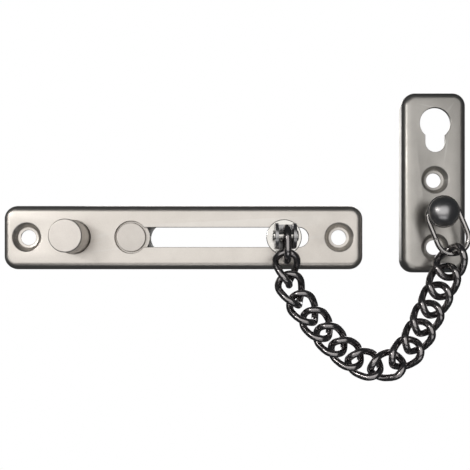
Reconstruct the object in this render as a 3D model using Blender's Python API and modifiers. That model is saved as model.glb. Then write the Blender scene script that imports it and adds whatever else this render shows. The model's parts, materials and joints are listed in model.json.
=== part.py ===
"""Door chain guard: a slotted plate with an automatic lock, a jamb plate with a ball stud, and a chain.

Metres, +Z up. The door and jamb faces are the plane Y = 0 and the fronts of the plates look along -Y.
The origin is the centre of the slot plate on the door face. Heights are measured out from the door face.
"""

import math

import bmesh
import bpy
from mathutils import Matrix, Vector

# Both plates are pressed from one sheet: a flat front with a rim turned down to the door.
PLATE_WIDTH = 0.0254
PLATE_DEPTH = 0.0060
SHEET = 0.0010
CORNER_RADIUS = 0.0053
EDGE_RADIUS = 0.0030
SHEET_UNDERSIDE = PLATE_DEPTH - SHEET

SLOT_PLATE_LENGTH = 0.1434
JAMB_PLATE_LENGTH = 0.0718
JAMB_PLATE_CENTRE = (0.1000, 0.0219)

# A gap that keeps neighbouring pieces apart.
GAP = 0.0003

# Countersunk screw dimples, as (x, z) of each hole.
SLOT_PLATE_SCREWS = ((-0.0620, 0.0), (0.0620, 0.0))
JAMB_PLATE_SCREWS = ((0.1000, 0.0228), (0.1000, -0.0040))
SLOT_SCREW_RADII = (0.0057, 0.0030)
JAMB_SCREW_RADII = (0.0053, 0.0029)
DIMPLE_DEPTH = 0.0027

# The slot runs from the round entry hole to a plain round end.
ENTRY_X = -0.0206
ENTRY_RADIUS = 0.0064
SLOT_HALF_WIDTH = 0.0039
SLOT_END_X = 0.0459
KEYHOLE_Z = 0.0453
KEYHOLE_RADIUS = 0.0061
KEYHOLE_SLOT_Z = 0.0377

# Automatic lock: a button and a disc on one bridge, lifted by two springs on a retainer plate.
BUTTON_X = -0.0433
BUTTON_RADIUS = 0.0064
BUTTON_HEIGHT = 0.0160
BUTTON_EDGE = 0.0009
DISC_RADIUS = 0.0057
DISC_HEIGHT = PLATE_DEPTH - 0.00015
DISC_EDGE = 0.0003
STEP_RADIUS = 0.0073
STEP_THICKNESS = 0.0004
BRIDGE_TOP = 0.0040
BRIDGE_THICKNESS = 0.0005
BRIDGE_HALF_WIDTH = 0.0050
BRIDGE_ENDS = (-0.0490, -0.0150)
TAIL_RADIUS = 0.0016
RETAINER_BASE = 0.0001
RETAINER_THICKNESS = 0.00045
RETAINER_ENDS = (-0.0545, -0.0080)
RETAINER_HALF_WIDTH = 0.0110
POST_RADIUS = 0.0012
POST_TENON_RADIUS = 0.0008
POST_X = (-0.0515, -0.0110)
POST_Z = 0.0082
SPRING_WIRE = 0.00045
SPRING_BASE_RADIUS = 0.0046
SPRING_TOP_RADIUS = 0.0028
SPRING_TURNS = 3

# Slider: a headed stud in the slot, a round flange in front of the plate and a clevis that swivels on it.
SLIDER_X = 0.0400
HEAD_RADIUS = 0.0060
HEAD_THICKNESS = 0.0010
SHANK_RADIUS = 0.0036
FLANGE_RADIUS = 0.0070
FLANGE_THICKNESS = 0.0008
CLEVIS_BASE = 0.0074
CLEVIS_BASE_THICKNESS = 0.0007
EAR_RADIUS = 0.0048
EAR_THICKNESS = 0.0012
EAR_SPACE = 0.0056
PIN_HEIGHT = 0.0143
PIN_RADIUS = 0.0015
PIN_HEAD_RADIUS = 0.0022
PIN_HEAD_LENGTH = 0.0012

# Ball stud on the jamb plate.
STUD_XZ = (0.1000, 0.0092)
STUD_NECK_RADIUS = 0.0023
STUD_RIM_HEIGHT = 0.0140
STUD_RIM_RADIUS = 0.0062
STUD_RIM_THICKNESS = 0.0007
STUD_DOME_RADIUS = 0.0058
STUD_DOME_HEIGHT = 0.0036
STUD_FOOT_RADIUS = 0.0036
WASHER_RADIUS = 0.0050

# Oval ring of round wire on the stud, with a butt joint in its left leg.
RING_LENGTH = 0.0228
RING_WIDTH = 0.0142
RING_WIRE = 0.00195
RING_HEIGHT = 0.0126
RING_JOINT = 0.0004
RING_JOINT_SHARE = 0.62

# Curb chain: every link is one oval of round wire, twisted about its length. The first stays flat, so that
# it fits between the ears of the clevis.
LINK_LENGTH = 0.0152
LINK_WIDTH = 0.0122
LINK_WIRE = 0.0027
LINK_TWIST = math.radians(-95)
FIRST_LINK_TWIST = 0.0
LINK_POINTS = 18
CHAIN_HEIGHTS = (0.0144, 0.0132)

# The chain hangs along a smooth route through these points (x, z), link centre to link centre.
CHAIN_ROUTE = (
    (0.0405, -0.0032),
    (0.0406, -0.0125),
    (0.0430, -0.0215),
    (0.0525, -0.0340),
    (0.0620, -0.0435),
    (0.0715, -0.0490),
    (0.0810, -0.0485),
    (0.0885, -0.0410),
    (0.0935, -0.0315),
    (0.0985, -0.0210),
    (0.1027, -0.0110),
    (0.1055, -0.0020),
    (0.1060, 0.0020),
)
LINK_STEPS_MM = (9.3, 8.3, 8.4, 7.8, 7.8, 7.8, 7.9, 8.4, 8.4, 7.9, 7.8, 7.8, 7.8, 8.1)
LINK_ROLLS_DEG = (90, -42, -30, -20, -10, -3, 0, 0, 0, 0, 0, -4, -10, -20, -34)

# This many links hang from the slider's clevis, and the others from the ring.
SLIDER_LINKS = 8

ROUND_STEPS = 24
SMALL_STEPS = 16
ROUTE_SAMPLES = 40

# Each finish is its colour, how metallic it is and its roughness.
SATIN_NICKEL = ((0.62, 0.58, 0.54), 1.0, 0.38)
SATIN_NICKEL_JAMB = ((0.48, 0.46, 0.43), 1.0, 0.36)
BUTTON_NICKEL = ((0.64, 0.60, 0.56), 1.0, 0.36)
DISC_NICKEL = ((0.58, 0.54, 0.50), 1.0, 0.40)
BRIGHT_NICKEL = ((0.66, 0.64, 0.60), 1.0, 0.22)
BLACK_NICKEL = ((0.10, 0.10, 0.105), 1.0, 0.22)
CHAIN_STEEL = ((0.12, 0.115, 0.11), 1.0, 0.25)
RING_STEEL = ((0.30, 0.28, 0.26), 1.0, 0.22)
ZINC_STEEL = ((0.50, 0.50, 0.50), 1.0, 0.45)
SPRING_STEEL = ((0.35, 0.35, 0.36), 1.0, 0.30)

# The exact solver leaves open edges where the dimples meet the flat front of a plate.
PLATE_SOLVER = "MANIFOLD"


def clear_scene():
    for item in list(bpy.data.objects):
        bpy.data.objects.remove(item, do_unlink=True)


def new_collection(name):
    found = bpy.data.collections.new(name)
    bpy.context.scene.collection.children.link(found)
    return found


def material(name, finish):
    colour, metallic, roughness = finish
    made = bpy.data.materials.new(name)
    made.use_nodes = True
    shader = made.node_tree.nodes["Principled BSDF"]
    shader.inputs["Base Color"].default_value = (*colour, 1)
    shader.inputs["Metallic"].default_value = metallic
    shader.inputs["Roughness"].default_value = roughness
    made.diffuse_color = (*colour, 1)
    return made


def place(item, into, finish=None, parent=None):
    """Links an object into one collection, gives it its material and parents it where it stands."""
    for owner in list(item.users_collection):
        owner.objects.unlink(item)
    into.objects.link(item)
    if finish:
        item.data.materials.clear()
        item.data.materials.append(material(f"{item.name}_finish", finish))
    if parent:
        bpy.context.view_layer.update()
        item.parent = parent
        item.matrix_parent_inverse = parent.matrix_world.inverted()
    return item


def pivot(name, x, height, z, into, parent=None):
    """An empty on a joint's axis."""
    empty = bpy.data.objects.new(name, None)
    empty.location = (x, -height, z)
    empty.empty_display_size = 0.003
    return place(empty, into, parent=parent)


def smooth(item, angle=35):
    item.data.shade_smooth()
    item.data.set_sharp_from_angle(angle=math.radians(angle))
    return item


def as_cutter(item, into):
    item.hide_render = True
    item.display_type = "WIRE"
    return place(item, into)


def boolean(item, other, operation, solver="EXACT"):
    step = item.modifiers.new(f"{operation.title()} {other.name}", "BOOLEAN")
    step.operation = operation
    step.solver = solver
    step.object = other


def meshed(curve_object):
    """The curve object as a mesh object with its caps welded, in place of the curve."""
    bpy.context.view_layer.update()
    graph = bpy.context.evaluated_depsgraph_get()
    mesh = bpy.data.meshes.new_from_object(curve_object.evaluated_get(graph))
    work = bmesh.new()
    work.from_mesh(mesh)
    bmesh.ops.remove_doubles(work, verts=work.verts, dist=1e-6)
    work.to_mesh(mesh)
    work.free()
    name = curve_object.name
    solid = bpy.data.objects.new(name, mesh)
    solid.matrix_world = curve_object.matrix_world
    bpy.context.scene.collection.objects.link(solid)
    bpy.data.objects.remove(curve_object, do_unlink=True)
    solid.name = name
    return solid


def arc(centre, radius, start, end, steps):
    """Points on an arc, from one angle to the other in degrees, both ends included."""
    points = []
    for i in range(steps + 1):
        angle = math.radians(start + (end - start) * i / steps)
        points.append((centre[0] + radius * math.cos(angle), centre[1] + radius * math.sin(angle)))
    return points


def prism(name, outline, low, high):
    """A flat outline in X and Z, extruded between two heights over the door face."""
    curve = bpy.data.curves.new(name, "CURVE")
    curve.dimensions = "2D"
    curve.fill_mode = "BOTH"
    curve.extrude = (high - low) / 2
    spline = curve.splines.new("POLY")
    spline.points.add(len(outline) - 1)
    for point, (x, z) in zip(spline.points, outline):
        point.co = (x, z, 0, 1)
    spline.use_cyclic_u = True
    item = bpy.data.objects.new(name, curve)
    bpy.context.scene.collection.objects.link(item)
    item.rotation_euler = (math.pi / 2, 0, 0)
    item.location = (0, -(low + high) / 2, 0)
    return meshed(item)


def turned(name, profile, x, z, steps=ROUND_STEPS):
    """A round piece from (radius, height) points, turned about an axis square to the door."""
    mesh = bpy.data.meshes.new(name)
    points = [(radius, 0, height) for radius, height in profile]
    mesh.from_pydata(points, [(i, i + 1) for i in range(len(points) - 1)], [])
    item = bpy.data.objects.new(name, mesh)
    item.location = (x, 0, z)
    item.rotation_euler = (math.pi / 2, 0, 0)
    screw = item.modifiers.new("Turn", "SCREW")
    screw.steps = steps
    screw.render_steps = steps
    screw.use_merge_vertices = True
    screw.merge_threshold = 1e-5
    screw.use_smooth_shade = True
    bpy.context.scene.collection.objects.link(item)
    return item


def disc_outline(x, z, radius, steps=ROUND_STEPS):
    return arc((x, z), radius, 0, 360 - 360 / steps, steps - 1)


def rounded_rectangle(low_x, high_x, low_z, high_z, radius, steps=5):
    corners = (
        (high_x - radius, high_z - radius, 0),
        (low_x + radius, high_z - radius, 90),
        (low_x + radius, low_z + radius, 180),
        (high_x - radius, low_z + radius, 270),
    )
    outline = []
    for x, z, start in corners:
        outline += arc((x, z), radius, start, start + 90, steps)
    return outline


def keyhole_outline(radius, half_width, end, steps=28):
    """A circle at the origin that opens into a slot along +X, with a round end centred at (end, 0)."""
    mouth = math.degrees(math.asin(half_width / radius))
    return arc((0, 0), radius, mouth, 360 - mouth, steps) + arc((end, 0), half_width, -90, 90, steps // 2)


def pressed_plate(name, length, width, x, z, upright):
    """A rounded tray of sheet, open at the back: a block without its back face, bevelled and thickened."""
    work = bmesh.new()
    bmesh.ops.create_cube(work, size=1)
    sides = (width, PLATE_DEPTH, length) if upright else (length, PLATE_DEPTH, width)
    bmesh.ops.scale(work, vec=sides, verts=work.verts)
    bmesh.ops.translate(work, vec=(0, -PLATE_DEPTH / 2, 0), verts=work.verts)
    back = [face for face in work.faces if face.normal.y > 0.5]
    bmesh.ops.delete(work, geom=back, context="FACES_ONLY")
    corners = [e for e in work.edges if abs((e.verts[0].co - e.verts[1].co).y) > PLATE_DEPTH / 2]
    bmesh.ops.bevel(
        work, geom=corners, offset=CORNER_RADIUS, segments=5, profile=0.5, affect="EDGES", clamp_overlap=True
    )
    front = [e for e in work.edges if all(v.co.y < -PLATE_DEPTH * 0.99 for v in e.verts)]
    bmesh.ops.bevel(
        work, geom=front, offset=EDGE_RADIUS, segments=4, profile=0.5, affect="EDGES", clamp_overlap=True
    )
    bmesh.ops.recalc_face_normals(work, faces=work.faces)
    mesh = bpy.data.meshes.new(name)
    work.to_mesh(mesh)
    work.free()
    item = bpy.data.objects.new(name, mesh)
    item.location = (x, 0, z)
    bpy.context.scene.collection.objects.link(item)
    wall = item.modifiers.new("Sheet", "SOLIDIFY")
    wall.thickness = SHEET
    wall.offset = -1
    wall.use_even_offset = True
    return smooth(item)


def add_screw_dimples(plate, places, radii, cutters):
    """Each screw hole is a dimple in the sheet: a cone behind it, then the cone and hole cut out."""
    outer, hole = radii
    base = PLATE_DEPTH - DIMPLE_DEPTH
    boss = (
        (0, PLATE_DEPTH - SHEET / 2),
        (outer + SHEET * 0.9, PLATE_DEPTH - SHEET / 2),
        (hole + SHEET, base),
        (0, base),
    )
    sink = (
        (0, PLATE_DEPTH + SHEET),
        (outer + SHEET, PLATE_DEPTH + SHEET),
        (outer, PLATE_DEPTH),
        (hole, base + SHEET * 0.6),
        (hole, base - SHEET),
        (0, base - SHEET),
    )
    for kind, profile, operation in (("boss", boss, "UNION"), ("sink", sink, "DIFFERENCE")):
        for number, (x, z) in enumerate(places, 1):
            tool = turned(f"{plate.name}_{kind}_{number}", profile, x, z)
            boolean(plate, as_cutter(tool, cutters), operation, PLATE_SOLVER)


def make_slot_plate(into, cutters):
    plate = pressed_plate("slot_plate", SLOT_PLATE_LENGTH, PLATE_WIDTH, 0, 0, upright=False)
    add_screw_dimples(plate, SLOT_PLATE_SCREWS, SLOT_SCREW_RADII, cutters)
    low, high = SHEET_UNDERSIDE - SHEET, PLATE_DEPTH + SHEET
    outline = keyhole_outline(ENTRY_RADIUS, SLOT_HALF_WIDTH, SLOT_END_X - ENTRY_X)
    slot = prism("slot_cut", [(ENTRY_X + x, z) for x, z in outline], low, high)
    button = prism("button_cut", disc_outline(BUTTON_X, 0, BUTTON_RADIUS + GAP), low, high)
    for cutter in (slot, button):
        boolean(plate, as_cutter(cutter, cutters), "DIFFERENCE", PLATE_SOLVER)
    place(plate, into, SATIN_NICKEL)


def make_jamb_plate(into, cutters):
    x, z = JAMB_PLATE_CENTRE
    plate = pressed_plate("jamb_plate", JAMB_PLATE_LENGTH, PLATE_WIDTH, x, z, upright=True)
    add_screw_dimples(plate, JAMB_PLATE_SCREWS, JAMB_SCREW_RADII, cutters)
    low, high = SHEET_UNDERSIDE - SHEET, PLATE_DEPTH + SHEET
    outline = keyhole_outline(KEYHOLE_RADIUS, SLOT_HALF_WIDTH, KEYHOLE_Z - KEYHOLE_SLOT_Z)
    # Turned a quarter turn, so that the narrow part of the keyhole points down.
    keyhole = prism("keyhole_cut", [(x + across, KEYHOLE_Z - along) for along, across in outline], low, high)
    stud = prism("stud_cut", disc_outline(*STUD_XZ, STUD_NECK_RADIUS + GAP, SMALL_STEPS), low, high)
    for cutter in (keyhole, stud):
        boolean(plate, as_cutter(cutter, cutters), "DIFFERENCE", PLATE_SOLVER)
    place(plate, into, SATIN_NICKEL_JAMB)


def stepped_plug(name, x, radius, top, edge):
    """A round plug in the plate, with a wider step under the sheet and a tail through the bridge."""
    step_top = SHEET_UNDERSIDE - GAP
    profile = [(0, top)]
    profile += [(radius - edge + across, top - edge + up) for across, up in arc((0, 0), edge, 90, 0, 4)]
    profile += [
        (radius, step_top),
        (STEP_RADIUS, step_top),
        (STEP_RADIUS, step_top - STEP_THICKNESS),
        (TAIL_RADIUS, step_top - STEP_THICKNESS),
        (TAIL_RADIUS, BRIDGE_TOP - BRIDGE_THICKNESS),
        (0, BRIDGE_TOP - BRIDGE_THICKNESS),
    ]
    return turned(name, profile, x, 0)


def make_release(into, cutters):
    """The button, the disc that fills the entry hole and the bridge that joins them: one sliding piece."""
    axis = pivot("release_axis", BUTTON_X, PLATE_DEPTH, 0, into)
    button = stepped_plug("release_button", BUTTON_X, BUTTON_RADIUS, BUTTON_HEIGHT, BUTTON_EDGE)
    disc = stepped_plug("lock_disc", ENTRY_X, DISC_RADIUS, DISC_HEIGHT, DISC_EDGE)
    outline = rounded_rectangle(*BRIDGE_ENDS, -BRIDGE_HALF_WIDTH, BRIDGE_HALF_WIDTH, BRIDGE_HALF_WIDTH * 0.8)
    bridge = prism("lock_bridge", outline, BRIDGE_TOP - BRIDGE_THICKNESS, BRIDGE_TOP)
    for x in (BUTTON_X, ENTRY_X):
        hole = disc_outline(x, 0, TAIL_RADIUS + GAP, SMALL_STEPS)
        cutter = prism(f"tail_cut_{x * 1000:.0f}", hole, 0, PLATE_DEPTH)
        boolean(bridge, as_cutter(cutter, cutters), "DIFFERENCE")
    place(button, into, BUTTON_NICKEL, axis)
    place(disc, into, DISC_NICKEL, axis)
    place(bridge, into, ZINC_STEEL, axis)


def make_retainer(into, cutters):
    """A thin plate across the back of the lock, on four posts, which the springs push against."""
    top = RETAINER_BASE + RETAINER_THICKNESS
    half = RETAINER_HALF_WIDTH
    outline = rounded_rectangle(*RETAINER_ENDS, -half, half, half / 4)
    plate = prism("lock_retainer", outline, RETAINER_BASE, top)
    place(plate, into, ZINC_STEEL)
    profile = (
        (0, SHEET_UNDERSIDE - GAP),
        (POST_RADIUS, SHEET_UNDERSIDE - GAP),
        (POST_RADIUS, top + GAP),
        (POST_TENON_RADIUS, top + GAP),
        (POST_TENON_RADIUS, RETAINER_BASE),
        (0, RETAINER_BASE),
    )
    places = [(x, z) for x in POST_X for z in (-POST_Z, POST_Z)]
    for number, (x, z) in enumerate(places, 1):
        place(turned(f"retainer_post_{number}", profile, x, z, SMALL_STEPS), into, ZINC_STEEL)
        hole = disc_outline(x, z, POST_TENON_RADIUS + GAP, SMALL_STEPS)
        cutter = prism(f"post_cut_{number}", hole, -SHEET, PLATE_DEPTH)
        boolean(plate, as_cutter(cutter, cutters), "DIFFERENCE")


def make_springs(into):
    """Conical coil springs between the retainer and the bridge, under the button and under the disc."""
    low = RETAINER_BASE + RETAINER_THICKNESS + GAP + SPRING_WIRE / 2
    high = BRIDGE_TOP - BRIDGE_THICKNESS - GAP - SPRING_WIRE / 2
    count = 12 * SPRING_TURNS + 1
    for name, x in (("button_spring", BUTTON_X), ("disc_spring", ENTRY_X)):
        points = []
        for i in range(count):
            share = i / (count - 1)
            angle = 2 * math.pi * SPRING_TURNS * share
            radius = SPRING_BASE_RADIUS + (SPRING_TOP_RADIUS - SPRING_BASE_RADIUS) * share
            height = low + (high - low) * share
            points.append((x + radius * math.cos(angle), -height, radius * math.sin(angle)))
        place(wire(name, points, SPRING_WIRE, closed=False, resolution=1), into, SPRING_STEEL)


def make_slider(into):
    """The stud and flange that run in the slot. Returns the empty on the slider's axis."""
    axis = pivot("slider_axis", SLIDER_X, PLATE_DEPTH, 0, into)
    head_top = SHEET_UNDERSIDE - GAP
    clevis_top = CLEVIS_BASE + CLEVIS_BASE_THICKNESS
    stud_profile = (
        (0, clevis_top),
        (TAIL_RADIUS, clevis_top),
        (TAIL_RADIUS, PLATE_DEPTH),
        (SHANK_RADIUS, PLATE_DEPTH),
        (SHANK_RADIUS, head_top),
        (HEAD_RADIUS, head_top),
        (HEAD_RADIUS, head_top - HEAD_THICKNESS),
        (0, head_top - HEAD_THICKNESS),
    )
    place(turned("slider_stud", stud_profile, SLIDER_X, 0), into, BRIGHT_NICKEL, axis)
    flange_low = PLATE_DEPTH + GAP
    flange_high = flange_low + FLANGE_THICKNESS
    flange_profile = (
        (TAIL_RADIUS + GAP, flange_high),
        (FLANGE_RADIUS - FLANGE_THICKNESS / 2, flange_high),
        (FLANGE_RADIUS, (flange_low + flange_high) / 2),
        (FLANGE_RADIUS, flange_low),
        (TAIL_RADIUS + GAP, flange_low),
        (TAIL_RADIUS + GAP, flange_high),
    )
    place(turned("slider_flange", flange_profile, SLIDER_X, 0), into, BRIGHT_NICKEL, axis)
    return axis


def ear_outline():
    """One ear of the clevis seen from the side: straight sides up to a round top, as (z, height)."""
    top = arc((0, PIN_HEIGHT), EAR_RADIUS, 0, 180, 14)
    return [(EAR_RADIUS, CLEVIS_BASE)] + top + [(-EAR_RADIUS, CLEVIS_BASE)]


def make_ear(name, low_x):
    """An ear outline extruded along X from low_x."""
    curve = bpy.data.curves.new(name, "CURVE")
    curve.dimensions = "2D"
    curve.fill_mode = "BOTH"
    curve.extrude = EAR_THICKNESS / 2
    spline = curve.splines.new("POLY")
    outline = ear_outline()
    spline.points.add(len(outline) - 1)
    for point, (z, height) in zip(spline.points, outline):
        point.co = (z, height, 0, 1)
    spline.use_cyclic_u = True
    item = bpy.data.objects.new(name, curve)
    bpy.context.scene.collection.objects.link(item)
    turn = Matrix(((0, 0, 1), (0, -1, 0), (1, 0, 0))).to_4x4()
    item.matrix_world = Matrix.Translation((low_x + EAR_THICKNESS / 2, 0, 0)) @ turn
    return meshed(item)


def along_x(item, x, height, z):
    """Lays a turned piece down, so that its axis runs along X through the given place."""
    item.rotation_euler = (0, math.pi / 2, 0)
    item.location = (x, -height, z)
    return item


def make_clevis(into, cutters, slider_axis):
    """A strip folded into two ears, with the pin that carries the chain's first link."""
    axis = pivot("clevis_axis", SLIDER_X, PLATE_DEPTH, 0, into, slider_axis)
    half = EAR_SPACE / 2 + EAR_THICKNESS
    base_top = CLEVIS_BASE + CLEVIS_BASE_THICKNESS
    outline = rounded_rectangle(SLIDER_X - half, SLIDER_X + half, -EAR_RADIUS, EAR_RADIUS, 0.0001, 1)
    clevis = prism("slider_clevis", outline, CLEVIS_BASE, base_top)
    for number, low_x in ((1, SLIDER_X - half), (2, SLIDER_X + half - EAR_THICKNESS)):
        boolean(clevis, as_cutter(make_ear(f"clevis_ear_{number}", low_x), cutters), "UNION")
    hole = disc_outline(SLIDER_X, 0, TAIL_RADIUS + GAP, SMALL_STEPS)
    cutter = prism("clevis_rivet_cut", hole, PLATE_DEPTH, base_top + SHEET)
    boolean(clevis, as_cutter(cutter, cutters), "DIFFERENCE")
    reach = half + EAR_THICKNESS
    bore_profile = ((0, reach), (PIN_RADIUS + GAP, reach), (PIN_RADIUS + GAP, -reach), (0, -reach))
    bore = along_x(turned("clevis_pin_cut", bore_profile, 0, 0, SMALL_STEPS), SLIDER_X, PIN_HEIGHT, 0)
    boolean(clevis, as_cutter(bore, cutters), "DIFFERENCE")
    place(clevis, into, BLACK_NICKEL, axis)
    head = half + GAP
    end = head + PIN_HEAD_LENGTH
    edge = PIN_HEAD_LENGTH / 4
    pin_profile = (
        (0, end),
        (PIN_HEAD_RADIUS - edge, end),
        (PIN_HEAD_RADIUS, end - edge),
        (PIN_HEAD_RADIUS, head),
        (PIN_RADIUS, head),
        (PIN_RADIUS, -head),
        (PIN_HEAD_RADIUS, -head),
        (PIN_HEAD_RADIUS, edge - end),
        (PIN_HEAD_RADIUS - edge, -end),
        (0, -end),
    )
    pin = along_x(turned("clevis_pin", pin_profile, 0, 0, SMALL_STEPS), SLIDER_X, PIN_HEIGHT, 0)
    place(pin, into, BRIGHT_NICKEL, axis)
    return axis


def make_ball_stud(into):
    x, z = STUD_XZ
    dome_base = STUD_RIM_HEIGHT + STUD_RIM_THICKNESS
    ball = (STUD_DOME_RADIUS**2 + STUD_DOME_HEIGHT**2) / (2 * STUD_DOME_HEIGHT)
    start = math.degrees(math.asin(STUD_DOME_RADIUS / ball))
    dome = arc((0, dome_base + STUD_DOME_HEIGHT - ball), ball, 90, 90 - start, 6)
    dome[0] = (0, dome_base + STUD_DOME_HEIGHT)
    washer_top = SHEET_UNDERSIDE - GAP
    washer_low = washer_top - STUD_RIM_THICKNESS
    foot_top = washer_low - GAP
    profile = dome + [
        (STUD_RIM_RADIUS, dome_base),
        (STUD_RIM_RADIUS, STUD_RIM_HEIGHT),
        (STUD_NECK_RADIUS, STUD_RIM_HEIGHT),
        (STUD_NECK_RADIUS, PLATE_DEPTH + 2 * SHEET),
        (STUD_FOOT_RADIUS, PLATE_DEPTH + SHEET),
        (STUD_FOOT_RADIUS, PLATE_DEPTH + GAP),
        (STUD_NECK_RADIUS, PLATE_DEPTH + GAP),
        (STUD_NECK_RADIUS, foot_top),
        (STUD_FOOT_RADIUS, foot_top),
        (STUD_FOOT_RADIUS, foot_top - SHEET),
        (0, foot_top - SHEET),
    ]
    place(turned("jamb_stud", profile, x, z), into, BLACK_NICKEL)
    bore = STUD_NECK_RADIUS + GAP
    washer_profile = (
        (bore, washer_top),
        (WASHER_RADIUS, washer_top),
        (WASHER_RADIUS, washer_low),
        (bore, washer_low),
        (bore, washer_top),
    )
    place(turned("stud_washer", washer_profile, x, z), into, BRIGHT_NICKEL)


def oval_points(length, width, wire_width, twist, count, first=0.0, last=1.0):
    """Points round an oval of wire in its own frame: X along it, Z across it, twisted about X.

    first and last are shares of the way round, for an oval that is cut open.
    """
    reach = (length - wire_width) / 2
    bend = (width - wire_width) / 2
    straight = 2 * (reach - bend)
    turn = math.pi * bend
    points = []
    for i in range(count):
        way = (first + (last - first) * i / count) % 1.0 * 2 * (straight + turn)
        side = 1 if way < straight + turn else -1
        way = way % (straight + turn)
        if way < straight:
            along, across = way - straight / 2, -bend
        else:
            angle = (way - straight) / bend
            along, across = straight / 2 + bend * math.sin(angle), -bend * math.cos(angle)
        lean = twist * side * along / (2 * reach)
        points.append((side * along, -side * across * math.sin(lean), side * across * math.cos(lean)))
    return points


def wire(name, points, diameter, closed, resolution=2):
    """Round wire along a run of points."""
    curve = bpy.data.curves.new(name, "CURVE")
    curve.dimensions = "3D"
    curve.bevel_depth = diameter / 2
    curve.bevel_resolution = resolution
    curve.use_fill_caps = True
    spline = curve.splines.new("POLY")
    spline.points.add(len(points) - 1)
    for point, place_at in zip(spline.points, points):
        point.co = (*place_at, 1)
    spline.use_cyclic_u = closed
    spline.use_smooth = True
    item = bpy.data.objects.new(name, curve)
    bpy.context.scene.collection.objects.link(item)
    return item


def smooth_route(points, samples):
    """A Catmull-Rom curve through the points, as closely spaced vectors."""
    knots = [Vector(p) for p in points]
    knots = [2 * knots[0] - knots[1], *knots, 2 * knots[-1] - knots[-2]]
    route = []
    for a, b, c, d in zip(knots, knots[1:], knots[2:], knots[3:]):
        for i in range(samples):
            t = i / samples
            bend = 2 * a - 5 * b + 4 * c - d
            twist = 3 * b - a - 3 * c + d
            route.append((2 * b + (c - a) * t + bend * t**2 + twist * t**3) / 2)
    return route + [knots[-2]]


def step_along(route, steps):
    """Points on the route that lie the given straight-line steps apart."""
    found = [route[0]]
    index = 0
    for step in steps:
        here = found[-1]
        while (route[index + 1] - here).length < step:
            index += 1
        a, b = route[index], route[index + 1]
        low, high = 0.0, 1.0
        for _ in range(40):
            middle = (low + high) / 2
            if (a.lerp(b, middle) - here).length < step:
                low = middle
            else:
                high = middle
        found.append(a.lerp(b, low))
    return found


def chain_layout():
    """(centre, direction in degrees about -Y, hinge point) of each link in X and Z, then the last end."""
    centres = step_along(smooth_route(CHAIN_ROUTE, ROUTE_SAMPLES), [s / 1000 for s in LINK_STEPS_MM])
    middles = [a.lerp(b, 0.5) for a, b in zip(centres, centres[1:])]
    starts = [centres[0] * 1.5 - centres[1] * 0.5, *middles]
    ends = [*middles, centres[-1] * 1.5 - centres[-2] * 0.5]
    links = []
    for centre, start, end in zip(centres, starts, ends):
        run = end - start
        links.append((centre, math.atan2(run.y, run.x), start))
    return links


def make_chain(into, clevis_axis, ring_axis):
    """The links: the first ones hang from the clevis, one on another, and the others from the ring."""
    links = chain_layout()
    starts = [start for _, _, start in links]
    hinges = [Vector((SLIDER_X, 0)), *starts[1:SLIDER_LINKS], *starts[SLIDER_LINKS + 1 :], ring_layout()[2]]
    order = list(range(SLIDER_LINKS)) + list(reversed(range(SLIDER_LINKS, len(links))))
    hook = clevis_axis
    for index in order:
        if index == len(links) - 1:
            hook = ring_axis
        centre, angle, _ = links[index]
        share = index / (len(links) - 1)
        height = CHAIN_HEIGHTS[0] + (CHAIN_HEIGHTS[1] - CHAIN_HEIGHTS[0]) * share
        hinge = hinges[index]
        hook = pivot(f"link_axis_{index + 1:02d}", hinge.x, height, hinge.y, into, hook)
        roll = math.radians(LINK_ROLLS_DEG[index])
        twist = FIRST_LINK_TWIST if index == 0 else LINK_TWIST
        points = oval_points(LINK_LENGTH, LINK_WIDTH, LINK_WIRE, twist, LINK_POINTS)
        link = wire(f"chain_link_{index + 1:02d}", points, LINK_WIRE, closed=True)
        turn = Matrix.Rotation(-angle, 4, "Y") @ Matrix.Rotation(roll, 4, "X")
        link.matrix_world = Matrix.Translation((centre.x, -height, centre.y)) @ turn
        place(link, into, CHAIN_STEEL, hook)


def ring_layout():
    """(centre, direction, hinge point on the last link) of the ring, hooked round that link's far end."""
    centre, angle, _ = chain_layout()[-1]
    ahead = Vector((math.cos(angle), math.sin(angle)))
    end_wire = centre + ahead * (LINK_LENGTH - LINK_WIRE) / 2
    to_stud = (Vector(STUD_XZ) - end_wire).normalized()
    bottom = end_wire - to_stud * ((LINK_WIRE + RING_WIRE) / 2 + GAP)
    middle = bottom + to_stud * (RING_LENGTH - RING_WIRE) / 2
    return middle, math.atan2(to_stud.y, to_stud.x), (end_wire + bottom) / 2


def make_stud_ring(into):
    """The ring hangs on the neck of the ball stud. Returns the empty that it turns about."""
    middle, angle, _ = ring_layout()
    axis = pivot("ring_axis", STUD_XZ[0], RING_HEIGHT, STUD_XZ[1], into)
    opening = RING_JOINT / (math.pi * (RING_LENGTH + RING_WIDTH) / 2)
    first = RING_JOINT_SHARE + opening / 2
    count = 30
    last = RING_JOINT_SHARE + 1 - opening / 2
    points = oval_points(RING_LENGTH, RING_WIDTH, RING_WIRE, 0, count, first, last)
    points += oval_points(RING_LENGTH, RING_WIDTH, RING_WIRE, 0, 1, last, last)
    ring = wire("stud_ring", points, RING_WIRE, closed=False)
    turn = Matrix.Rotation(-angle, 4, "Y")
    ring.matrix_world = Matrix.Translation((middle.x, -RING_HEIGHT, middle.y)) @ turn
    place(ring, into, RING_STEEL, axis)
    return axis


def main():
    clear_scene()
    parts = new_collection("door_chain_guard")
    cutters = new_collection("cutters")
    cutters.hide_render = True
    make_slot_plate(parts, cutters)
    make_jamb_plate(parts, cutters)
    make_release(parts, cutters)
    make_retainer(parts, cutters)
    make_springs(parts)
    slider_axis = make_slider(parts)
    clevis_axis = make_clevis(parts, cutters, slider_axis)
    make_ball_stud(parts)
    ring_axis = make_stud_ring(parts)
    make_chain(parts, clevis_axis, ring_axis)


main()
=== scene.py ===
import json
import math

import bmesh
import bpy
from mathutils import Matrix, Vector


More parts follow.
